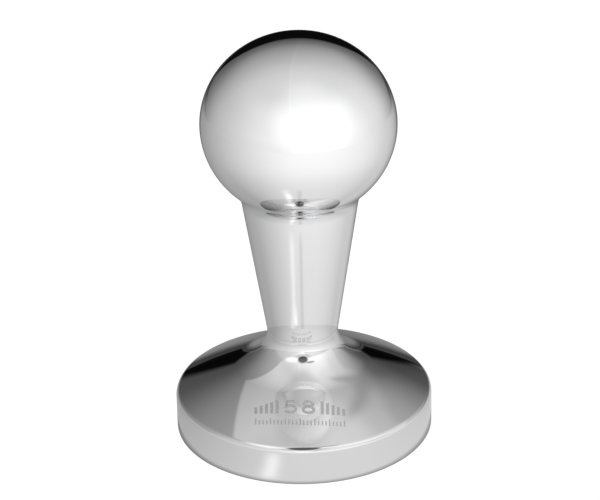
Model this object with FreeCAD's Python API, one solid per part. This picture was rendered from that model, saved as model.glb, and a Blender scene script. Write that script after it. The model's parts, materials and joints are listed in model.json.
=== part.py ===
import FreeCAD, Part
import os
from math import radians, degrees, sin, cos, tan, atan2, pi, hypot, sqrt

# Espresso tamper for a 58 mm filter basket, turned and mirror polished all over.
# Frame: millimetres, +Z up the turning axis, origin at the centre of the flat
# tamping face, which is also the face the tool stands on.
#
# Four separate pieces:
#   tamping_base   stainless disc with a flared neck, blind M8 thread in its top
#   ball_handle    aluminium tapered stem and ball, blind M8 thread in its foot
#   joining_stud   M8 x 1.25 set screw, locked in the handle, screwed into the base
#   joint_o_ring   rubber ring squeezed in the counterbore in the handle's foot
# Turning the handle anticlockwise seen from above unscrews it: 1.25 mm a turn.

V = FreeCAD.Vector

# ---------------------------------------------------------------- dimensions
# tamping base
BASE_R = 29.0            # tamping diameter 58.0
FOOT_EDGE_R = 0.40       # small round at the tamping edge
RIM_EDGE_R = 1.60        # round between rim wall and shoulder
RIM_TOP_Z = 9.12         # where the shoulder runs into that round
SHOULDER_OUT_DEG = 27.3  # shoulder's slope at the rim, from horizontal
SHOULDER_IN_DEG = 23.3   # and where it runs into the flare: slightly crowned
FLARE_R = 17.1           # hollow flare between waist and shoulder
WAIST_Z = 23.4           # joint face between base and handle
WAIST_R = 7.97           # narrowest radius, at the joint
WAIST_BLEND_R = 6.0      # rounding where the tapered stem meets the flare
SEAM_BREAK = 0.06        # edge break on both pieces at the joint

# ball handle
STEM_DEG = 8.85          # stem's half angle
NECK_BLEND_R = 6.0       # concave round where stem meets ball
BALL_Z = 73.3            # height of the ball's widest circle
BALL_R = 21.43           # ball's widest radius
BALL_UP = 20.07          # half height above the widest circle
BALL_DOWN = 20.38        # half height below it, were the ball complete

# M8 x 1.25 thread
PITCH = 1.25
PITCH_R = 3.594          # pitch radius of M8 coarse
HOLE_MINOR_R = 3.35      # tapping drill 6.7
HOLE_MAJOR_R = 4.05
FLANK_GAP = 0.08         # clearance between flanks
STUD_CREST_R = 3.88
STUD_ROOT_R = 3.16
STUD_LOW_Z = 9.8         # 13 mm of the stud is in the base, 17 mm in the handle
STUD_LEN = 30.0
STUD_CHAMFER = 0.80
HEX_AF = 4.0             # socket across flats, in the lower end
HEX_DEPTH = 4.0
BASE_HOLE_LOW_Z = 7.6    # end of the base's full-diameter hole
HANDLE_HOLE_TOP_Z = 41.6
DRILL_DEG = 59.0         # half angle of the drill point
MOUTH_R = 4.30           # countersink at the mouth of each thread
MOUTH_H = 0.75

# O-ring and its counterbore
CBORE_R = 5.95
CBORE_H = 1.30
RING_IN_R = 4.25
RING_OUT_R = 5.85
RING_H = 1.30            # squeezed height, 1.5 when free


# every helix passes +X at THREAD_Z plus whole pitches, so the stud's ridge runs
# in the middle of both holes' grooves
THREAD_Z = STUD_LOW_Z - 2 * PITCH


# ------------------------------------------------------------------- helpers
def rz(r, z):
    return V(r, 0, z)


def seg(a, b):
    return Part.LineSegment(rz(*a), rz(*b)).toShape()


def segs(points):
    return [seg(points[i], points[i + 1]) for i in range(len(points) - 1)]


def round_arc(c, r, a0, a1):
    """Arc about c from angle a0 to a1 in degrees, 0 outwards and 90 up, with
    its two end points."""
    p = [(c[0] + r * cos(radians(a)), c[1] + r * sin(radians(a)))
         for a in (a0, (a0 + a1) / 2, a1)]
    return Part.Arc(rz(*p[0]), rz(*p[1]), rz(*p[2])).toShape(), p[0], p[2]


def lathe(edges):
    """Closed half profile in the XZ plane, turned once about Z."""
    wire = Part.Wire(Part.__sortEdges__(edges))
    solid = Part.Face(wire).revolve(V(0, 0, 0), V(0, 0, 1), 360)
    if solid.ShapeType != "Solid":
        solid = solid.Solids[0]
    if solid.Volume < 0:
        solid.reverse()
    return solid


def helix_bar(r_in, w_in, r_out, w_out, z_from, turns):
    """Right-hand helical bar of trapezoid section, through (r, z_from) on +X."""
    path = Part.makeHelix(PITCH, turns * PITCH, PITCH_R)
    section = Part.makePolygon([
        rz(r_in, -w_in / 2), rz(r_out, -w_out / 2),
        rz(r_out, w_out / 2), rz(r_in, w_in / 2), rz(r_in, -w_in / 2)])
    bar = Part.Wire(path.Edges).makePipeShell([section], True, True)
    if bar.Volume < 0:
        bar.reverse()
    bar.translate(V(0, 0, z_from))
    return bar


def thread_width(r, at_pitch):
    """Axial width at radius r of a 60 degree ridge that narrows outwards."""
    return at_pitch - 2 * (r - PITCH_R) * tan(radians(30))


def tapped_hole(z_low, z_high):
    """Solid that fills an M8 tapped hole from z_low to z_high, thread and all;
    both ends run out in a 45 degree taper."""
    first = THREAD_Z + PITCH * (round((z_low - THREAD_Z) / PITCH) - 2)
    turns = round((z_high - z_low) / PITCH) + 5
    r0 = HOLE_MINOR_R - 0.08
    bar = helix_bar(r0, thread_width(r0, PITCH / 2), HOLE_MAJOR_R,
                    thread_width(HOLE_MAJOR_R, PITCH / 2), first, turns)
    core = Part.makeCylinder(HOLE_MINOR_R, (turns + 4) * PITCH,
                             V(0, 0, first - 2 * PITCH))
    wide = HOLE_MAJOR_R + 0.2
    taper = wide - HOLE_MINOR_R
    ends = lathe(segs([(0, z_low), (HOLE_MINOR_R, z_low), (wide, z_low + taper),
                       (wide, z_high - taper), (HOLE_MINOR_R, z_high),
                       (0, z_high), (0, z_low)]))
    return core.fuse(bar).common(ends).Solids[0]


# -------------------------------------------------------------- tamping base
g_out, g_in = radians(SHOULDER_OUT_DEG), radians(SHOULDER_IN_DEG)
foot = round_arc((BASE_R - FOOT_EDGE_R, FOOT_EDGE_R), FOOT_EDGE_R, -90, 0)
edge_c = (BASE_R - RIM_EDGE_R, RIM_TOP_Z - RIM_EDGE_R * cos(g_out))
rim = round_arc(edge_c, RIM_EDGE_R, 0, 90 - SHOULDER_OUT_DEG)
# waist rounding, whose narrowest circle is the joint
waist_c = (WAIST_R + WAIST_BLEND_R, WAIST_Z)
seam_a = degrees(SEAM_BREAK / WAIST_BLEND_R)


def crown(radius):
    """Inner end of the crowned shoulder, and the flare's centre from there."""
    inner = (rim[2][0] - radius * (sin(g_out) - sin(g_in)),
             rim[2][1] - radius * (cos(g_out) - cos(g_in)))
    return inner, (inner[0] + FLARE_R * sin(g_in),
                   inner[1] + FLARE_R * cos(g_in))


def flare_miss(radius):
    """How far such a flare is from touching the waist rounding inside it."""
    c = crown(radius)[1]
    return (hypot(c[0] - waist_c[0], c[1] - waist_c[1])
            - (FLARE_R - WAIST_BLEND_R))


lo, hi = 40.0, 330.0
for _ in range(80):
    mid = (lo + hi) / 2
    if (flare_miss(lo) < 0) == (flare_miss(mid) < 0):
        lo = mid
    else:
        hi = mid
CROWN_R = (lo + hi) / 2
inner, flare_c = crown(CROWN_R)
crown_c = (inner[0] - CROWN_R * sin(g_in), inner[1] - CROWN_R * cos(g_in))
shoulder = round_arc(crown_c, CROWN_R, 90 - SHOULDER_OUT_DEG,
                     90 - SHOULDER_IN_DEG)
a_flare = degrees(atan2(flare_c[1] - waist_c[1], flare_c[0] - waist_c[0]))
flare = round_arc(flare_c, FLARE_R, 270 - SHOULDER_IN_DEG, 180 + a_flare)
waist = round_arc(waist_c, WAIST_BLEND_R, 180 + a_flare, 180 + seam_a)
base = lathe(
    [foot[0], seg(foot[2], rim[1]), rim[0], shoulder[0], flare[0], waist[0]]
    + segs([waist[2], (WAIST_R - SEAM_BREAK, WAIST_Z), (MOUTH_R, WAIST_Z),
            (MOUTH_R - MOUTH_H / 0.8, WAIST_Z - MOUTH_H),
            (0, WAIST_Z - MOUTH_H), (0, 0), foot[1]]))
base = base.cut(tapped_hole(BASE_HOLE_LOW_Z, WAIST_Z + 2)).Solids[0]
DRILL_H = HOLE_MINOR_R / tan(radians(DRILL_DEG))
base = base.cut(Part.makeCone(0, HOLE_MINOR_R, DRILL_H,
                              V(0, 0, BASE_HOLE_LOW_Z - DRILL_H))).Solids[0]

# ---------------------------------------------------------------- ball handle
s = radians(STEM_DEG)
foot2 = round_arc(waist_c, WAIST_BLEND_R, 180 - seam_a, 180 - STEM_DEG)
q0 = foot2[2]


def ball_point(t):
    """Point and outward normal on the lower half of the ball."""
    n = (cos(t) / BALL_R, sin(t) / BALL_DOWN)
    m = hypot(*n)
    return ((BALL_R * cos(t), BALL_Z + BALL_DOWN * sin(t)),
            (n[0] / m, n[1] / m))


def neck_centre(t):
    (r, z), n = ball_point(t)
    return (r + NECK_BLEND_R * n[0], z + NECK_BLEND_R * n[1])


def neck_miss(t):
    """How far a round tangent to the ball at t is from touching the stem."""
    c = neck_centre(t)
    return ((c[0] - q0[0]) * cos(s) - (c[1] - q0[1]) * sin(s)) - NECK_BLEND_R


lo, hi = radians(-80), radians(-20)
for _ in range(80):
    mid = (lo + hi) / 2
    if (neck_miss(lo) < 0) == (neck_miss(mid) < 0):
        lo = mid
    else:
        hi = mid
t_neck = (lo + hi) / 2
n = ball_point(t_neck)[1]
neck = round_arc(neck_centre(t_neck), NECK_BLEND_R, 180 - STEM_DEG,
                 degrees(atan2(-n[1], -n[0])) % 360)
centre = V(0, 0, BALL_Z)
low_ball = Part.Ellipse(rz(BALL_R, BALL_Z), rz(0, BALL_Z - BALL_DOWN), centre)
top_ball = Part.Ellipse(rz(BALL_R, BALL_Z), rz(0, BALL_Z + BALL_UP), centre)
low_arc = Part.ArcOfEllipse(low_ball, 0, -t_neck).toBSpline().toShape()
top_arc = Part.ArcOfEllipse(top_ball, 0, pi / 2).toBSpline().toShape()
ring_z = WAIST_Z + CBORE_H
handle = lathe(
    [foot2[0], seg(foot2[2], neck[1]), neck[0], low_arc, top_arc]
    + segs([(0, BALL_Z + BALL_UP), (0, ring_z + MOUTH_H),
            (MOUTH_R - MOUTH_H / 0.8, ring_z + MOUTH_H), (MOUTH_R, ring_z),
            (CBORE_R, ring_z), (CBORE_R, WAIST_Z),
            (WAIST_R - SEAM_BREAK, WAIST_Z), foot2[1]]))
handle = handle.cut(tapped_hole(ring_z - 2, HANDLE_HOLE_TOP_Z)).Solids[0]
handle = handle.cut(Part.makeCone(HOLE_MINOR_R, 0, DRILL_H,
                                  V(0, 0, HANDLE_HOLE_TOP_Z))).Solids[0]

# --------------------------------------------------------------- joining stud
ridge = PITCH / 2 - 2 * FLANK_GAP / cos(radians(30))
r0 = STUD_ROOT_R - 0.08
bar = helix_bar(r0, thread_width(r0, ridge), STUD_CREST_R,
                thread_width(STUD_CREST_R, ridge), THREAD_Z,
                STUD_LEN / PITCH + 4)
core = Part.makeCylinder(STUD_ROOT_R, STUD_LEN + 4 * PITCH + 4,
                         V(0, 0, THREAD_Z - 2))
z0, z1 = STUD_LOW_Z, STUD_LOW_Z + STUD_LEN
wide = STUD_CREST_R + 0.1
tip = STUD_CREST_R - STUD_CHAMFER
envelope = lathe(segs([
    (0, z0), (tip, z0), (wide, z0 + STUD_CHAMFER + 0.1),
    (wide, z1 - STUD_CHAMFER - 0.1), (tip, z1), (0, z1), (0, z0)]))
stud = core.fuse(bar).common(envelope).Solids[0]
corner = HEX_AF / sqrt(3)
hexagon = Part.Face(Part.makePolygon([
    V(corner * cos(radians(60 * i)), corner * sin(radians(60 * i)), z0 - 1)
    for i in range(7)])).extrude(V(0, 0, HEX_DEPTH + 1))
drill = Part.makeCone(HEX_AF / 2 * 1.02, 0, 1.2, V(0, 0, z0 + HEX_DEPTH))
stud = stud.cut(hexagon).cut(drill).Solids[0]

# --------------------------------------------------------------- joint O-ring
side = RING_H / 2
mid_z = WAIST_Z + side
outer = Part.Arc(rz(RING_OUT_R - side, WAIST_Z), rz(RING_OUT_R, mid_z),
                 rz(RING_OUT_R - side, WAIST_Z + RING_H)).toShape()
inner = Part.Arc(rz(RING_IN_R + side, WAIST_Z), rz(RING_IN_R, mid_z),
                 rz(RING_IN_R + side, WAIST_Z + RING_H)).toShape()
ring = lathe([outer, inner,
              seg((RING_IN_R + side, WAIST_Z), (RING_OUT_R - side, WAIST_Z)),
              seg((RING_IN_R + side, WAIST_Z + RING_H),
                  (RING_OUT_R - side, WAIST_Z + RING_H))])

# ------------------------------------------------------------------ write out
PARTS = {
    "tamping_base": base,
    "ball_handle": handle,
    "joining_stud": stud,
    "joint_o_ring": ring,
}
os.makedirs("parts", exist_ok=True)
for name, shape in PARTS.items():
    box = shape.optimalBoundingBox(False)
    print("%-14s valid %s  volume %9.1f mm3  z %.3f to %.3f  r %.3f  faces %d"
          % (name, shape.isValid(), shape.Volume, box.ZMin, box.ZMax,
             box.XMax, len(shape.Faces)))
    shape.exportStep("parts/%s.step" % name)
print("crown radius %.1f, wall top z %.3f" % (CROWN_R, edge_c[1]))
print("flare from r %.2f z %.2f, %.1f degrees off vertical, to r %.2f z %.2f"
      % (flare[2][0], flare[2][1], a_flare, flare[1][0], flare[1][1]))
print("neck round meets the stem at r %.2f z %.2f and the ball at r %.2f z %.2f"
      % (neck[1][0], neck[1][1], neck[2][0], neck[2][1]))
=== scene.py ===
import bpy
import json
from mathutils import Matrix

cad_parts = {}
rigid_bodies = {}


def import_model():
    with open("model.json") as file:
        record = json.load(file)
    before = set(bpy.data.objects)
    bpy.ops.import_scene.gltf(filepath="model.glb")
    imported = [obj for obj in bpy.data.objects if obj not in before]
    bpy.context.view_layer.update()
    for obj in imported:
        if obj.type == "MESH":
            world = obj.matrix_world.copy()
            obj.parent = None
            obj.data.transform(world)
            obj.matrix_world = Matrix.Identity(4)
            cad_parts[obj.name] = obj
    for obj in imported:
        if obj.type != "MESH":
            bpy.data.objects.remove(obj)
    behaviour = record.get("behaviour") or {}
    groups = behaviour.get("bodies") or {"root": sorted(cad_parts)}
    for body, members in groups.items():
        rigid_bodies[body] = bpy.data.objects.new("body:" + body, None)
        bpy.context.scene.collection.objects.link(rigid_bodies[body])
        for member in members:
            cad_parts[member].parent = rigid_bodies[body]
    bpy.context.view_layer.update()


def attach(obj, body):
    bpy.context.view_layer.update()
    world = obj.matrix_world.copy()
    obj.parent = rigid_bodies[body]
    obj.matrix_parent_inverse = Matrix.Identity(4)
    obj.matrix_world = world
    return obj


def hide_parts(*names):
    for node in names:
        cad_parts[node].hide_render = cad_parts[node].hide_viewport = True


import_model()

import bpy
import json
import math
from math import sin, cos, tan, radians, degrees, atan2, hypot, pi, sqrt
import numpy as np
from mathutils import Vector, Matrix

MM = 0.001
SEGMENTS = 512

# ------------------------------------------------------------ shape, in mm
BASE_R, FOOT_EDGE_R, RIM_EDGE_R, RIM_TOP_Z = 29.0, 0.40, 1.60, 9.12
SHOULDER_OUT, SHOULDER_IN, FLARE_R = radians(27.3), radians(23.3), 17.1
WAIST_Z, WAIST_R, WAIST_BLEND_R, SEAM_BREAK = 23.4, 7.97, 6.0, 0.06
STEM, NECK_BLEND_R = radians(8.85), 6.0
BALL_Z, BALL_R, BALL_UP, BALL_DOWN = 73.3, 21.43, 20.07, 20.38
PITCH, PITCH_R = 1.25, 3.594
HOLE_MINOR_R, HOLE_MAJOR_R = 3.35, 4.05
STUD_LOW_Z = 9.8
BASE_HOLE_LOW_Z, HANDLE_HOLE_TOP_Z = 7.6, 41.6
DRILL = radians(59.0)
MOUTH_R, MOUTH_H = 4.30, 0.75
CBORE_R, CBORE_H = 5.95, 1.30
THREAD_Z = STUD_LOW_Z - 2 * PITCH


# ------------------------------------------------------- profiles to lathe
# A profile is a list of (r, z, nr, nz): a point and the surface's normal.
def line(a, b, n, step=None):
    """Straight run from a to b with normal n."""
    length = hypot(b[0] - a[0], b[1] - a[1])
    k = 1 if step is None else max(1, int(math.ceil(length / step)))
    return [(a[0] + (b[0] - a[0]) * i / k, a[1] + (b[1] - a[1]) * i / k,
             n[0], n[1]) for i in range(k + 1)]


def arc(c, r, a0, a1, count, hollow=False):
    """Arc about c, angles in degrees, 0 outwards and 90 up."""
    out = []
    for i in range(count + 1):
        a = radians(a0 + (a1 - a0) * i / count)
        s = -1.0 if hollow else 1.0
        out.append((c[0] + r * cos(a), c[1] + r * sin(a),
                    s * cos(a), s * sin(a)))
    return out


def flat_normal(a, b):
    """Normal on the right-hand side of the run from a to b."""
    d = hypot(b[0] - a[0], b[1] - a[1])
    return ((b[1] - a[1]) / d, -(b[0] - a[0]) / d)


waist_c = (WAIST_R + WAIST_BLEND_R, WAIST_Z)
seam_a = degrees(SEAM_BREAK / WAIST_BLEND_R)
edge_c = (BASE_R - RIM_EDGE_R, RIM_TOP_Z - RIM_EDGE_R * cos(SHOULDER_OUT))
rim_end = (edge_c[0] + RIM_EDGE_R * sin(SHOULDER_OUT), RIM_TOP_Z)


def crown(radius):
    """Inner end of the crowned shoulder, and the flare's centre from there."""
    q = (rim_end[0] - radius * (sin(SHOULDER_OUT) - sin(SHOULDER_IN)),
         rim_end[1] - radius * (cos(SHOULDER_OUT) - cos(SHOULDER_IN)))
    return q, (q[0] + FLARE_R * sin(SHOULDER_IN),
               q[1] + FLARE_R * cos(SHOULDER_IN))


def flare_miss(radius):
    c = crown(radius)[1]
    return (hypot(c[0] - waist_c[0], c[1] - waist_c[1])
            - (FLARE_R - WAIST_BLEND_R))


lo, hi = 40.0, 330.0
for _ in range(80):
    mid = (lo + hi) / 2
    if (flare_miss(lo) < 0) == (flare_miss(mid) < 0):
        lo = mid
    else:
        hi = mid
CROWN_R = (lo + hi) / 2
inner, flare_c = crown(CROWN_R)
crown_c = (inner[0] - CROWN_R * sin(SHOULDER_IN),
           inner[1] - CROWN_R * cos(SHOULDER_IN))
a_flare = degrees(atan2(flare_c[1] - waist_c[1], flare_c[0] - waist_c[0]))


def base_profile():
    """Outside of the base, from the centre of its underside to the mouth."""
    under = line((0.0, 0.0), (BASE_R - FOOT_EDGE_R, 0.0), (0, -1), 1.5)
    foot = arc((BASE_R - FOOT_EDGE_R, FOOT_EDGE_R), FOOT_EDGE_R, -90, 0, 8)
    wall = line(foot[-1][:2], (BASE_R, edge_c[1]), (1, 0), 0.8)
    rim = arc(edge_c, RIM_EDGE_R, 0, 90 - degrees(SHOULDER_OUT), 20)
    cone = arc(crown_c, CROWN_R, 90 - degrees(SHOULDER_OUT),
               90 - degrees(SHOULDER_IN), 56)
    flare = arc(flare_c, FLARE_R, 270 - degrees(SHOULDER_IN), 180 + a_flare,
                40, True)
    waist = arc(waist_c, WAIST_BLEND_R, 180 + a_flare, 180 + seam_a, 40, True)
    top = (WAIST_R - SEAM_BREAK, WAIST_Z)
    brk = line(waist[-1][:2], top, flat_normal(waist[-1][:2], top))
    face = line(top, (MOUTH_R, WAIST_Z), (0, 1), 0.6)
    return [under, foot, wall, rim, cone, flare, waist, brk, face]


def ball_point(t):
    n = (cos(t) / BALL_R, sin(t) / BALL_DOWN)
    m = hypot(*n)
    return ((BALL_R * cos(t), BALL_Z + BALL_DOWN * sin(t)),
            (n[0] / m, n[1] / m))


def handle_profile():
    """Outside of the handle, from the thread's mouth to the top of the ball."""
    ring_z = WAIST_Z + CBORE_H
    floor_ = line((MOUTH_R, ring_z), (CBORE_R, ring_z), (0, -1), 0.6)
    bore = line((CBORE_R, ring_z), (CBORE_R, WAIST_Z), (-1, 0), 0.5)
    foot = line((CBORE_R, WAIST_Z), (WAIST_R - SEAM_BREAK, WAIST_Z),
                (0, -1), 0.6)
    waist = arc(waist_c, WAIST_BLEND_R, 180 - seam_a, 180 - degrees(STEM),
                10, True)
    brk = line(foot[-1][:2], waist[0][:2],
               flat_normal(foot[-1][:2], waist[0][:2]))
    q0 = waist[-1][:2]

    def miss(t):
        (r, z), n = ball_point(t)
        c = (r + NECK_BLEND_R * n[0], z + NECK_BLEND_R * n[1])
        return ((c[0] - q0[0]) * cos(STEM) - (c[1] - q0[1]) * sin(STEM)
                - NECK_BLEND_R)

    lo, hi = radians(-80), radians(-20)
    for _ in range(80):
        mid = (lo + hi) / 2
        if (miss(lo) < 0) == (miss(mid) < 0):
            lo = mid
        else:
            hi = mid
    t0 = (lo + hi) / 2
    (r, z), n = ball_point(t0)
    c = (r + NECK_BLEND_R * n[0], z + NECK_BLEND_R * n[1])
    neck = arc(c, NECK_BLEND_R, 180 - degrees(STEM),
               degrees(atan2(-n[1], -n[0])) % 360, 48, True)
    stem = line(q0, neck[0][:2], (cos(STEM), -sin(STEM)), 0.8)
    ball = []
    count = 220
    for i in range(count + 1):
        t = t0 + (pi / 2 - t0) * i / count
        down = BALL_DOWN if t < 0 else BALL_UP
        n = (cos(t) / BALL_R, sin(t) / down)
        m = hypot(*n)
        ball.append((BALL_R * cos(t), BALL_Z + down * sin(t),
                     n[0] / m, n[1] / m))
    ball[-1] = (0.0, BALL_Z + BALL_UP, 0.0, 1.0)
    return [floor_, bore, foot, brk, waist, stem, neck, ball]


# ------------------------------------------------------------------- meshes
class Builder:
    """Collects vertices, faces, material numbers and corner normals."""

    def __init__(self):
        self.v, self.f, self.m, self.n = [], [], [], []
        self.index = {}

    def vert(self, p):
        key = (round(p[0], 6), round(p[1], 6), round(p[2], 6))
        if key not in self.index:
            self.index[key] = len(self.v)
            self.v.append(p)
        return self.index[key]

    def face(self, points, normals, material=0):
        ids, ns = [], []
        for p, n in zip(points, normals):
            i = self.vert(p)
            if i not in ids:
                ids.append(i)
                ns.append(n)
        if len(ids) < 3:
            return
        self.f.append(ids)
        self.n.extend(ns)
        self.m.append(material)

    def lathe(self, run, segments, material=0, skip=None):
        """Turn one run of (r, z, nr, nz) about Z, faces outwards."""
        for k in range(len(run) - 1):
            a, b = run[k], run[k + 1]
            for s in range(segments):
                if skip and skip(k, s):
                    continue
                t0 = 2 * pi * s / segments
                t1 = 2 * pi * ((s + 1) % segments) / segments
                c0, s0, c1, s1 = cos(t0), sin(t0), cos(t1), sin(t1)
                pts = [(a[0] * c0, a[0] * s0, a[1]),
                       (a[0] * c1, a[0] * s1, a[1]),
                       (b[0] * c1, b[0] * s1, b[1]),
                       (b[0] * c0, b[0] * s0, b[1])]
                nrm = [(a[2] * c0, a[2] * s0, a[3]),
                       (a[2] * c1, a[2] * s1, a[3]),
                       (b[2] * c1, b[2] * s1, b[3]),
                       (b[2] * c0, b[2] * s0, b[3])]
                self.face(pts, nrm, material)

    def make(self, name, materials):
        mesh = bpy.data.meshes.new(name)
        mesh.from_pydata([(x * MM, y * MM, z * MM) for x, y, z in self.v], [],
                         self.f)
        for m in materials:
            mesh.materials.append(m)
        mesh.polygons.foreach_set("material_index", self.m)
        mesh.polygons.foreach_set("use_smooth", [True] * len(self.f))
        mesh.update()
        mesh.normals_split_custom_set(self.n)
        obj = bpy.data.objects.new(name, mesh)
        bpy.context.scene.collection.objects.link(obj)
        return obj


def thread_radius(theta, z):
    """Radius of the tapped hole's wall, inside thread."""
    u = (z - THREAD_Z) / PITCH - theta / (2 * pi)
    d = abs(u - round(u)) * PITCH        # axial distance from a groove's middle
    slope = 1 / tan(radians(30))
    r = PITCH_R + (PITCH / 4 - d) * slope
    return max(HOLE_MINOR_R, min(HOLE_MAJOR_R, r))


def tapped_hole(b, z_low, z_high, mouth, mouth_up, material=0):
    """Wall of a tapped hole seen from inside, its drill point and its mouth.
    The mouth is at z_high when mouth_up, otherwise at z_low."""
    around, per_turn = 96, 14
    rows = int((z_high - z_low) / PITCH * per_turn) + 2 * per_turn

    def radius(theta, z):
        r = thread_radius(theta, z)
        if mouth_up:
            r = max(r, MOUTH_R - (z_high - z) / 0.8)
            end = z - z_low
        else:
            r = max(r, MOUTH_R - (z - z_low) / 0.8)
            end = z_high - z
        return min(r, max(HOLE_MINOR_R, HOLE_MINOR_R + end))

    def point(i, j):
        theta = 2 * pi * i / around
        z = z_low - PITCH + PITCH * (j / per_turn) + PITCH * theta / (2 * pi)
        z = min(max(z, z_low), z_high)
        r = radius(theta, z)
        return (r * cos(theta), r * sin(theta), z)

    for i in range(around):
        for j in range(rows):
            quad = [point(i, j), point(i, j + 1), point(i + 1, j + 1),
                    point(i + 1, j)]
            n = face_normal(quad)
            if n:
                b.face(quad, [n] * 4, material)
    # drill point
    h = HOLE_MINOR_R / tan(DRILL)
    z0, z1 = (z_low, z_low - h) if mouth_up else (z_high, z_high + h)
    for i in range(around):
        t0, t1 = 2 * pi * i / around, 2 * pi * (i + 1) / around
        p = [(HOLE_MINOR_R * cos(t0), HOLE_MINOR_R * sin(t0), z0),
             (HOLE_MINOR_R * cos(t1), HOLE_MINOR_R * sin(t1), z0),
             (0.0, 0.0, z1)]
        if not mouth_up:
            p = [p[1], p[0], p[2]]
        b.face(p, [face_normal(p)] * 3, material)


def face_normal(p):
    """Newell normal; None when the face has no area."""
    x = y = z = 0.0
    for i in range(len(p)):
        a, c = p[i], p[(i + 1) % len(p)]
        x += (a[1] - c[1]) * (a[2] + c[2])
        y += (a[2] - c[2]) * (a[0] + c[0])
        z += (a[0] - c[0]) * (a[1] + c[1])
    m = sqrt(x * x + y * y + z * z)
    return (x / m, y / m, z / m) if m > 1e-9 else None


# ---------------------------------------------------------------- materials
def material(name, color, metallic, roughness, build=None):
    m = bpy.data.materials.new(name)
    m.use_nodes = True
    nt = m.node_tree
    bsdf = nt.nodes["Principled BSDF"]
    bsdf.inputs["Base Color"].default_value = (*color, 1.0)
    bsdf.inputs["Metallic"].default_value = metallic
    bsdf.inputs["Roughness"].default_value = roughness
    if build:
        build(nt, bsdf)
    return m


def polish(nt, bsdf, low=0.025, high=0.06):
    """Very fine turning lines: roughness that varies along the axis."""
    co = nt.nodes.new("ShaderNodeTexCoord")
    mp = nt.nodes.new("ShaderNodeMapping")
    mp.inputs["Scale"].default_value = (600, 600, 600)
    nz = nt.nodes.new("ShaderNodeTexNoise")
    nz.inputs["Scale"].default_value = 1.0
    nz.inputs["Detail"].default_value = 3.0
    rm = nt.nodes.new("ShaderNodeMapRange")
    rm.inputs["To Min"].default_value = low
    rm.inputs["To Max"].default_value = high
    nt.links.new(co.outputs["Object"], mp.inputs["Vector"])
    nt.links.new(mp.outputs["Vector"], nz.inputs["Vector"])
    nt.links.new(nz.outputs["Fac"], rm.inputs["Value"])
    nt.links.new(rm.outputs["Result"], bsdf.inputs["Roughness"])


STEEL = (0.735, 0.735, 0.74)
mirror_steel = material("mirror_steel", STEEL, 1.0, 0.04, polish)
mirror_alloy = material("mirror_alloy", (0.815, 0.815, 0.82), 1.0, 0.04,
                        polish)
etched = material("etched_steel", (0.525, 0.525, 0.53), 1.0, 0.42)
thread_steel = material("thread_steel", (0.50, 0.50, 0.51), 1.0, 0.28)
stud_steel = material("stud_steel", (0.45, 0.45, 0.46), 1.0, 0.24)
rubber = material("black_rubber", (0.018, 0.018, 0.018), 0.0, 0.5)

MARK_UP, MARK_DOWN = 0.012, 0.05     # mark's skin above and below the shoulder


def on_shoulder(run, x, y):
    """Height and normal of the shoulder at x, y."""
    r = sqrt(x * x + y * y)
    pts = run if run[0][0] < run[-1][0] else run[::-1]
    for a, b in zip(pts, pts[1:]):
        if a[0] <= r <= b[0]:
            t = (r - a[0]) / (b[0] - a[0])
            q = [a[i] + (b[i] - a[i]) * t for i in range(4)]
            break
    n = sqrt(q[2] ** 2 + q[3] ** 2)
    return q[1], (q[2] / n * x / r, q[2] / n * y / r, q[3] / n)


def mark_line(u):
    """Plan position of the mark's base line, u along it."""
    return -20.3 - 0.055 * u + 0.0075 * u * u


def ribbon(b, run, points, width, closed=False, material=1):
    """Thin closed strip of the given width on the shoulder along points
    (u along the mark, v up it)."""
    fine = []
    pairs = list(zip(points, points[1:] + points[:1]))
    if not closed:
        pairs = pairs[:-1]
    for p, q in pairs:
        count = max(1, int(sqrt((q[0] - p[0]) ** 2 + (q[1] - p[1]) ** 2) / 0.4))
        fine += [(p[0] + (q[0] - p[0]) * k / count,
                  p[1] + (q[1] - p[1]) * k / count) for k in range(count)]
    if not closed:
        fine.append(points[-1])
    size = len(fine)
    rows = []
    for k, p in enumerate(fine):
        before = fine[k - 1] if closed or k else None
        after = fine[(k + 1) % size] if closed or k < size - 1 else None
        dirs = []
        for a, c in ((before, p), (p, after)):
            if a is not None and c is not None:
                m = sqrt((c[0] - a[0]) ** 2 + (c[1] - a[1]) ** 2)
                dirs.append(((c[0] - a[0]) / m, (c[1] - a[1]) / m))
        dx = sum(d[0] for d in dirs) / len(dirs)
        dy = sum(d[1] for d in dirs) / len(dirs)
        m = sqrt(dx * dx + dy * dy)
        nx, ny = -dy / m, dx / m
        reach = width / 2 / max(0.5, m)
        row = []
        for side in (1, -1):
            u, v = p[0] + side * nx * reach, p[1] + side * ny * reach
            x, y = u, mark_line(u) + v
            z, n = on_shoulder(run, x, y)
            row.append(((x + n[0] * MARK_UP, y + n[1] * MARK_UP,
                         z + n[2] * MARK_UP),
                        (x - n[0] * MARK_DOWN, y - n[1] * MARK_DOWN,
                         z - n[2] * MARK_DOWN), n, (side * nx, side * ny, 0.0)))
        rows.append(row)
    steps = size if closed else size - 1
    for k in range(steps):
        (l0, r0), (l1, r1) = rows[k], rows[(k + 1) % size]
        b.face([l0[0], r0[0], r1[0], l1[0]], [l0[2], r0[2], r1[2], l1[2]],
               material)
        down = [tuple(-c for c in q[2]) for q in (l0, l1, r1, r0)]
        b.face([l0[1], l1[1], r1[1], r0[1]], down, material)
        b.face([l0[0], l1[0], l1[1], l0[1]], [l0[3], l1[3], l1[3], l0[3]],
               material)
        b.face([r0[0], r0[1], r1[1], r1[0]], [r0[3], r0[3], r1[3], r1[3]],
               material)
    if not closed:
        for k, flip in ((0, False), (size - 1, True)):
            l, r = rows[k]
            q = [l[0], l[1], r[1], r[0]]
            n = (-l[3][1], l[3][0], 0.0) if flip else (l[3][1], -l[3][0], 0.0)
            if flip:
                q = q[::-1]
            b.face(q, [n] * 4, material)


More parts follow.
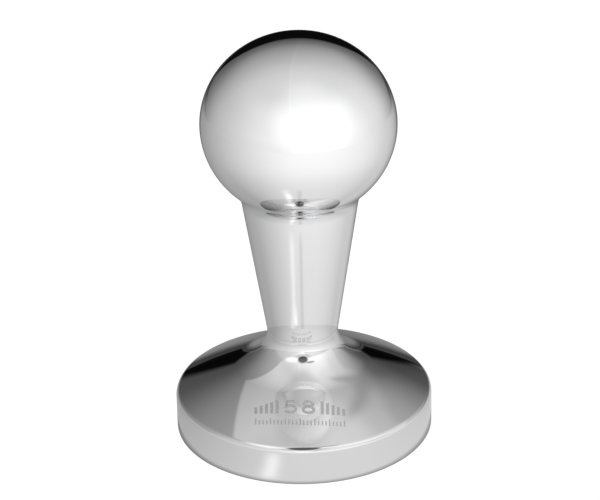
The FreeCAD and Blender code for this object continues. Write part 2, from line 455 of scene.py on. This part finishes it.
def oval(cu, cv, ru, rv, a0, a1, count):
    return [(cu + ru * cos(a0 + (a1 - a0) * i / count),
             cv + rv * sin(a0 + (a1 - a0) * i / count)) for i in range(count + 1)]


def size_mark(b, run):
    """Size in millimetres between two groups of bars, over a row of ticks."""
    # five
    bowl = oval(-3.10, 1.10, 1.20, 0.85, radians(122), radians(-150), 22)
    ribbon(b, run, [(-1.95, 2.98), (-3.80, 2.98), (-3.92, 1.72)] + bowl, 0.66)
    # eight
    ribbon(b, run, oval(0.95, 2.42, 0.98, 0.62, 0, 2 * pi, 28)[:-1], 0.60, True)
    ribbon(b, run, oval(0.95, 0.98, 1.18, 0.76, 0, 2 * pi, 28)[:-1], 0.66, True)
    for k in range(5):
        high = 3.25 - 0.40 * k
        for u in (-5.95 - 1.18 * k, 3.95 + 1.18 * k):
            ribbon(b, run, [(u, 0.02), (u, high)], 0.66)
    for k in range(25):
        u = -10.7 + 0.81 * k
        ribbon(b, run, [(u, -2.70), (u, -1.20 if k % 4 == 0 else -1.65)], 0.30)


# ------------------------------------------------------------------- pieces
base = Builder()
for run in base_profile():
    base.lathe(run, SEGMENTS)
tapped_hole(base, BASE_HOLE_LOW_Z, WAIST_Z, MOUTH_R, True, 2)
size_mark(base, base_profile()[4])
base_obj = base.make("base_turned", [mirror_steel, etched, thread_steel])

handle = Builder()
for run in handle_profile():
    handle.lathe(run, SEGMENTS)
tapped_hole(handle, WAIST_Z + CBORE_H, HANDLE_HOLE_TOP_Z, MOUTH_R, False, 1)
handle_obj = handle.make("handle_turned", [mirror_alloy, thread_steel])

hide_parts("tamping_base")
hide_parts("ball_handle")
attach(base_obj, "base")
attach(handle_obj, "handle")

for obj in list(bpy.data.objects):
    if obj.type != "MESH":
        continue
    for node, mat in (("joining_stud", stud_steel), ("joint_o_ring", rubber)):
        if obj.name.startswith(node) or obj.get("node") == node:
            obj.data.materials.clear()
            obj.data.materials.append(mat)

# -------------------------------------------------------------------- stage
# A plain white floor in a small light tent. The tent and the tent's own floor
# are only seen in the metal; the camera sees the plain floor and white behind.
METAL = 0.81                 # the metal's reflectance, which the light is set for
TENT_R, TENT_Z = 0.45, 0.08
GAP_EL = radians(8.5)        # height angle of the dark gap at the tent's back


class Nodes:
    """Short way to wire shader nodes."""

    def __init__(self, tree):
        self.t = tree
        tree.nodes.clear()

    def new(self, kind, **inputs):
        n = self.t.nodes.new(kind)
        for k, v in inputs.items():
            n.inputs[k].default_value = v
        return n

    def wire(self, x, socket):
        if isinstance(x, (int, float)):
            socket.default_value = x
        else:
            self.t.links.new(x, socket)

    def op(self, kind, a, b=None, c=None, clamp=False):
        n = self.t.nodes.new("ShaderNodeMath")
        n.operation, n.use_clamp = kind, clamp
        for i, x in enumerate((a, b, c)):
            if x is not None:
                self.wire(x, n.inputs[i])
        return n.outputs[0]

    def add(self, a, b):
        return self.op("ADD", a, b)

    def sub(self, a, b):
        return self.op("SUBTRACT", a, b)

    def mul(self, a, b):
        return self.op("MULTIPLY", a, b)

    def div(self, a, b):
        return self.op("DIVIDE", a, b)

    def step(self, x, lo, hi, to_lo=0.0, to_hi=1.0):
        """Smooth step of x from lo to hi."""
        n = self.t.nodes.new("ShaderNodeMapRange")
        n.interpolation_type = "SMOOTHSTEP"
        self.wire(x, n.inputs["Value"])
        for k, v in (("From Min", lo), ("From Max", hi), ("To Min", to_lo),
                     ("To Max", to_hi)):
            n.inputs[k].default_value = v
        return n.outputs["Result"]

    def bump(self, x, centre, width):
        """Bell of x about centre."""
        d = self.div(self.sub(x, centre), width)
        return self.op("EXPONENT", self.mul(self.mul(d, d), -1.0))

    def curve(self, x, table, lo, hi):
        """Curve through table's points, x from lo to hi."""
        n = self.t.nodes.new("ShaderNodeFloatCurve")
        c = n.mapping.curves[0]
        top = max(v for _, v in table)
        pts = [((k - lo) / (hi - lo), v / top) for k, v in table]
        c.points[0].location, c.points[1].location = pts[0], pts[-1]
        for q in pts[1:-1]:
            c.points.new(*q)
        for q in c.points:
            q.handle_type = "AUTO_CLAMPED"
        n.mapping.update()
        self.wire(self.div(self.sub(x, lo), hi - lo), n.inputs["Value"])
        return self.mul(n.outputs[0], top)


def stage_object(name, verts, faces, camera_only=None):
    mesh = bpy.data.meshes.new(name)
    mesh.from_pydata(verts, [], faces)
    obj = bpy.data.objects.new(name, mesh)
    bpy.context.scene.collection.objects.link(obj)
    if camera_only is True:
        obj.visible_diffuse = obj.visible_glossy = False
        obj.visible_transmission = obj.visible_shadow = False
    elif camera_only is False:
        obj.visible_camera = obj.visible_shadow = False
    m = bpy.data.materials.new(name)
    m.use_nodes = True
    mesh.materials.append(m)
    return obj, Nodes(m.node_tree)


def glow(n, strength):
    em = n.new("ShaderNodeEmission")
    em.inputs["Color"].default_value = (1, 1, 1, 1)
    n.wire(strength, em.inputs["Strength"])
    out = n.new("ShaderNodeOutputMaterial")
    n.t.links.new(em.outputs[0], out.inputs[0])


# the floor the camera sees
_, n = stage_object("floor", [(-3, -3, 0), (3, -3, 0), (3, 3, 0), (-3, 3, 0)],
                    [(0, 1, 2, 3)], True)
glow(n, 1.05)


def disc(radius, count=96):
    return ([(radius * cos(2 * pi * i / count), radius * sin(2 * pi * i / count),
              0.0) for i in range(count)], [tuple(range(count))])


# the floor the metal sees, with painted light and shade: lighter in front and on
# the right, darker behind, shaded close round the tamper
v, f = disc(TENT_R * 1.02)
_, n = stage_object("tent_floor", [(x, y, -0.0001) for x, y, z in v], f, False)
co = n.new("ShaderNodeTexCoord")
sep = n.new("ShaderNodeSeparateXYZ")
n.t.links.new(co.outputs["Object"], sep.inputs[0])
X, Y = n.mul(sep.outputs[0], 1000.0), n.mul(sep.outputs[1], 1000.0)
phi = n.mul(n.op("ARCTAN2", X, n.mul(Y, -1.0)), 180 / pi)
far = n.op("SQRT", n.add(n.mul(X, X), n.mul(Y, Y)))
around = n.curve(phi, [(-180, .22), (-165, .36), (-150, .46), (-135, .53),
                       (-120, .63), (-110, .71), (-99, .79), (-90, .86),
                       (-67, 1.06), (-45, 1.25), (-20, 1.46), (0, 1.55),
                       (25, 1.56), (45, 1.52), (67, 1.42), (90, 1.25),
                       (110, 1.04), (122, .94), (135, .77), (150, .50),
                       (165, .32), (180, .22)], -180.0, 180.0)
# painted shade on the floor close round the tamper, in front and at the sides
out = n.curve(far, [(0, .26), (30, .255), (45, .24), (60, .21), (85, .14),
                    (125, .06), (200, .02), (460, 0.0)], 0.0, 460.0)
out = n.mul(out, n.step(n.op("ABSOLUTE", phi), 135.0, 95.0))
level = n.mul(around, n.sub(1.0, out))
level = n.mul(level, n.step(Y, 200.0, 450.0, 1.0, 0.08))
# painted shadow of the tamper on the floor behind it
level = n.mul(level, n.sub(1.0, n.mul(
    n.mul(n.step(n.op("ABSOLUTE", phi), 145.0, 162.0), n.step(far, 55.0, 190.0)),
    0.62)))
# painted contact shadow: the floor darker right under the rim
level = n.mul(level, n.step(far, 29.3, 31.2, 0.45, 1.0))     # under the rim
# painted light: a soft bright strip on the floor in front
painted_light_strip = n.mul(n.step(far, 29.0, 33.0), n.step(far, 46.0, 38.0))
level = n.add(level, n.mul(n.mul(n.bump(phi, -18.0, 4.5), painted_light_strip), 0.44))
glow(n, n.mul(level, 0.62 / METAL))

# the tent
rows, cols = 64, 128
v = [(0, 0, TENT_R)]
for i in range(1, rows):
    a = pi * i / rows
    v += [(TENT_R * sin(a) * cos(2 * pi * j / cols),
           TENT_R * sin(a) * sin(2 * pi * j / cols), TENT_R * cos(a))
          for j in range(cols)]
v.append((0, 0, -TENT_R))
f = [(0, 1 + j, 1 + (j + 1) % cols) for j in range(cols)]
for i in range(rows - 2):
    p, q = 1 + i * cols, 1 + (i + 1) * cols
    f += [(p + j, q + j, q + (j + 1) % cols, p + (j + 1) % cols)
          for j in range(cols)]
p = 1 + (rows - 2) * cols
f += [(p + j, len(v) - 1, p + (j + 1) % cols) for j in range(cols)]
tent, n = stage_object("tent", v, f, False)
tent.location = (0, 0, TENT_Z)
co = n.new("ShaderNodeTexCoord")
nrm = n.t.nodes.new("ShaderNodeVectorMath")
nrm.operation = "NORMALIZE"
n.t.links.new(co.outputs["Object"], nrm.inputs[0])
sep = n.new("ShaderNodeSeparateXYZ")
n.t.links.new(nrm.outputs["Vector"], sep.inputs[0])
dx, dy, dz = sep.outputs[0], sep.outputs[1], sep.outputs[2]
along = n.add(n.mul(dy, cos(GAP_EL)), n.mul(dz, sin(GAP_EL)))
beta = n.mul(n.op("ARCCOSINE", n.op("MINIMUM", along, 0.999999)), 180 / pi)
level = n.curve(beta, [(0, .05), (18, .055), (22, .08), (26, .115),
                       (30, .140), (38, .220), (45, .29), (50, .345),
                       (60, .45), (74, .585), (90, .69), (120, .87),
                       (150, 0.98), (180, 0.99)], 0.0, 180.0)
el = n.mul(n.op("ARCSINE", dz), 180 / pi)
back = n.op("MAXIMUM", dy, 0.0)
right = n.add(n.sub(0.12, n.step(el, 30.0, 60.0, 0.0, 0.08)),
              n.mul(back, 0.25))
left = n.sub(0.18, n.step(el, 10.0, 55.0, 0.0, 0.09))
level = n.mul(level, n.add(1.0, n.add(
    n.mul(n.op("MAXIMUM", dx, 0.0), right),
    n.mul(n.op("MINIMUM", dx, 0.0), left))))
level = n.mul(level, n.add(1.0, n.mul(
    n.bump(beta, 36.0, 16.0), n.step(el, 8.0, 42.0, -0.15, 0.17))))
level = n.mul(level, n.sub(1.0, n.mul(
    n.bump(el, 56.0, 16.0), n.step(dy, 0.1, -0.5, 0.0, 0.11))))
level = n.mul(level, n.step(el, 6.0, -8.0, 1.0, 0.955))
# the key light, in front and a little to the right
ka, ke = radians(18), radians(27)
key = n.add(n.add(n.mul(dx, sin(ka) * cos(ke)), n.mul(dy, -cos(ka) * cos(ke))),
            n.mul(dz, sin(ke)))
level = n.add(level, n.mul(n.step(key, 0.55, 0.98), 0.16))
# a seam overhead, a little left of the middle
t = n.sub(n.add(dx, n.mul(dz, 0.11)), n.mul(dy, 0.12))
level = n.mul(level, n.add(n.add(0.985, n.mul(n.bump(t, 0.0, 0.018), 0.05)),
                           n.mul(n.step(t, -0.01, 0.01), 0.03)))
# the dark gap: an arch with its foot just above the floor
az = n.mul(n.op("ARCTAN2", dx, dy), 180 / pi)
u = n.op("ABSOLUTE", n.div(n.add(az, 1.2), 24.0))
ve = n.sub(el, 8.5)
vv = n.op("MAXIMUM", n.div(ve, 18.5), n.mul(ve, -0.5 / 18.5))
arch = n.op("POWER", n.add(n.op("POWER", u, 2.2), n.op("POWER", vv, 2.2)),
            1 / 2.2)
gap_here = n.mul(n.step(arch, 1.07, 0.93), n.step(el, -7.6, -6.6))
low = n.step(el, -6.0, -8.0)        # strip between the floor and the gap
level = n.add(n.mul(level, n.sub(1.0, gap_here)), n.mul(gap_here, 0.003))
back_low = n.mul(low, n.step(dy, 0.75, 0.9))
level = n.add(n.mul(level, n.sub(1.0, back_low)), n.mul(back_low, 0.05))
glow(n, n.div(level, METAL))

# a sheet over the base with painted shade and painted highlights: dims what the
# base sees of the tent and adds glow, one side only
PAINTED_SHEET_Z = 0.051
count = 96


def ring(name, r_in, r_out, z):
    v = [(r * cos(2 * pi * i / count), r * sin(2 * pi * i / count), z)
         for r in (r_in, r_out) for i in range(count)]
    f = [(i, count + i, count + (i + 1) % count, (i + 1) % count)
         for i in range(count)]
    return stage_object(name, v, f, False)[1]


def one_way(n, through, painted_glow, from_below):
    """Painted shade (a tint) and painted glow for rays from one side, clear for
    rays from the other.
    """
    geo = n.new("ShaderNodeNewGeometry")
    clear, tinted = (n.new("ShaderNodeBsdfTransparent"),
                     n.new("ShaderNodeBsdfTransparent"))
    clear.inputs["Color"].default_value = (1, 1, 1, 1)
    n.t.links.new(through, tinted.inputs["Color"])
    em, both = n.new("ShaderNodeEmission"), n.new("ShaderNodeAddShader")
    em.inputs["Color"].default_value = (1, 1, 1, 1)
    n.wire(painted_glow, em.inputs["Strength"])
    n.t.links.new(tinted.outputs[0], both.inputs[0])
    n.t.links.new(em.outputs[0], both.inputs[1])
    mix, out = n.new("ShaderNodeMixShader"), n.new("ShaderNodeOutputMaterial")
    n.t.links.new(geo.outputs["Backfacing"], mix.inputs[0])
    n.t.links.new((clear if from_below else both).outputs[0], mix.inputs[1])
    n.t.links.new((both if from_below else clear).outputs[0], mix.inputs[2])
    n.t.links.new(mix.outputs[0], out.inputs[0])


# two soft strips low in front of the stem, seen from above only: a painted dark
# streak and a painted bright streak in the handle's reflection
n = ring("strips", 0.0098, 0.044, 0.0265)
co = n.new("ShaderNodeTexCoord")
sep = n.new("ShaderNodeSeparateXYZ")
n.t.links.new(co.outputs["Object"], sep.inputs[0])
X, Y = n.mul(sep.outputs[0], 1000.0), n.mul(sep.outputs[1], 1000.0)
phi = n.mul(n.op("ARCTAN2", X, n.mul(Y, -1.0)), 180 / pi)
far = n.op("SQRT", n.add(n.mul(X, X), n.mul(Y, Y)))
fade = n.step(far, 44.0, 35.0)
one_way(n, n.sub(1.0, n.mul(n.mul(n.bump(phi, -0.5, 3.2), fade), 0.17)),
        n.mul(n.mul(n.bump(phi, -17.5, 4.5), fade), 0.20), False)

n = ring("flag", 0.0135, 0.40, PAINTED_SHEET_Z)
co = n.new("ShaderNodeTexCoord")
sep = n.new("ShaderNodeSeparateXYZ")
n.t.links.new(co.outputs["Object"], sep.inputs[0])
X, Y = n.mul(sep.outputs[0], 1000.0), n.mul(sep.outputs[1], 1000.0)


def spot(cx, cy, rx, ry, soft=0.35):
    """1 inside an ellipse, 0 outside, soft edged."""
    a, b = n.div(n.sub(X, cx), rx), n.div(n.sub(Y, cy), ry)
    r = n.op("SQRT", n.add(n.mul(a, a), n.mul(b, b)))
    return n.step(r, 1 + soft, 1 - soft)


def dim(level, where, depth):
    return n.mul(level, n.sub(1.0, n.mul(where, depth)))


# painted shade: the base's reflection darker left of a curved edge, and right of
# it far behind
edge = n.sub(-36.0, n.mul(n.step(n.op("ABSOLUTE", n.sub(Y, 4.0)), 12.0, 60.0),
                          5.0))
side = n.step(n.sub(X, edge), -1.2, 1.2)      # 0 left of the edge
rest = n.step(Y, -8.0, -45.0, 0.72, 0.88)
through = n.add(rest, n.mul(side, n.sub(1.0, rest)))
through = dim(through, n.mul(n.step(Y, 55.0, 130.0), side), 0.30)
# painted shade: a dark streak in the base's reflection
xc = n.curve(Y, [(-22, 12.0), (-14, 19.0), (-6, 25.0), (4, 31.0), (15, 34.5),
                 (24, 38.0), (40, 44.0), (65, 54.0), (90, 63.0)], -22.0, 90.0)
wide = n.add(2.2, n.step(Y, -16.0, 30.0, 0.0, 3.5))
painted_dark_streak = n.bump(n.div(n.sub(X, xc), wide), 0.0, 1.0)
painted_dark_streak = n.mul(painted_dark_streak, n.step(Y, -14.0, -4.0))
painted_dark_streak = n.mul(painted_dark_streak, n.step(Y, 40.0, 90.0, 0.26, 0.12))
through = dim(through, painted_dark_streak, 1.0)
# painted shade: dark patches in the base's reflection
through = dim(through, n.mul(n.step(X, 38.0, 50.0), n.step(Y, -2.0, 12.0)), 0.17)
through = dim(through, n.mul(n.step(X, 8.0, 20.0), n.step(Y, -55.0, -75.0)), 0.26)
through = dim(through, spot(-1.0, -60.0, 13.0, 25.0, 0.22), 0.87)
through = dim(through, spot(13.5, -36.5, 8.0, 4.5, 0.3), 0.55)
through = dim(through, n.mul(spot(-4.0, -95.0, 30.0, 50.0, 0.5),
                             n.step(Y, -50.0, -66.0)), 0.40)
# painted shade and painted glow over the handle's reflection in the base
under = spot(-1.0, -14.5, 12.0, 11.0, 0.45)   # evens the handle's reflection
through = dim(through, under, 0.55)
# painted highlights: soft glowing patches in the base's reflection
painted_glow = n.mul(side, n.mul(n.step(X, 0.0, -26.0), n.step(Y, 60.0, 25.0)))
painted_glow = n.mul(painted_glow, n.mul(n.step(Y, -24.0, -12.0), 0.10))
painted_glow = n.add(painted_glow, n.mul(spot(-31.0, -46.0, 15.0, 16.0, 0.5), 0.40))
painted_glow = n.add(painted_glow, n.mul(spot(20.0, -17.0, 16.0, 11.0, 0.6), 0.11))
painted_glow = n.add(painted_glow, n.mul(under, 0.30))
one_way(n, through, painted_glow, True)

w = bpy.data.worlds.new("white")
bpy.context.scene.world = w
w.use_nodes = True
n = Nodes(w.node_tree)
bg = n.new("ShaderNodeBackground", Strength=1.05)
bg.inputs["Color"].default_value = (1, 1, 1, 1)
o = n.new("ShaderNodeOutputWorld")
n.t.links.new(bg.outputs[0], o.inputs[0])
bpy.context.scene.view_settings.view_transform = "Standard"

# ------------------------------------------------------------------- camera
D, EL, ROLL = 0.550, radians(25.84), radians(1.17)
target = Vector((0.0, 0.0, 0.042))
place = target + Vector((0, -D * cos(EL), D * sin(EL)))
right0, up = Vector((1, 0, 0)), Vector((0, sin(EL), cos(EL)))
right = right0 * cos(ROLL) - up * sin(ROLL)
cam_up = right0 * sin(ROLL) + up * cos(ROLL)
back = right.cross(cam_up)
m = Matrix((right, cam_up, back)).transposed().to_4x4()
m.translation = place
cam = bpy.data.cameras.new("camera")
cam.lens, cam.sensor_width, cam.sensor_fit = 148.9, 36.0, "HORIZONTAL"
cam.shift_x = -(301.1 - 300.0) / 600.0
cam.shift_y = (254.04 - 250.0) / 600.0
cam.clip_start, cam.clip_end = 0.01, 50.0
cam_obj = bpy.data.objects.new("camera", cam)
cam_obj.matrix_world = m
bpy.context.scene.collection.objects.link(cam_obj)
bpy.context.scene.camera = cam_obj
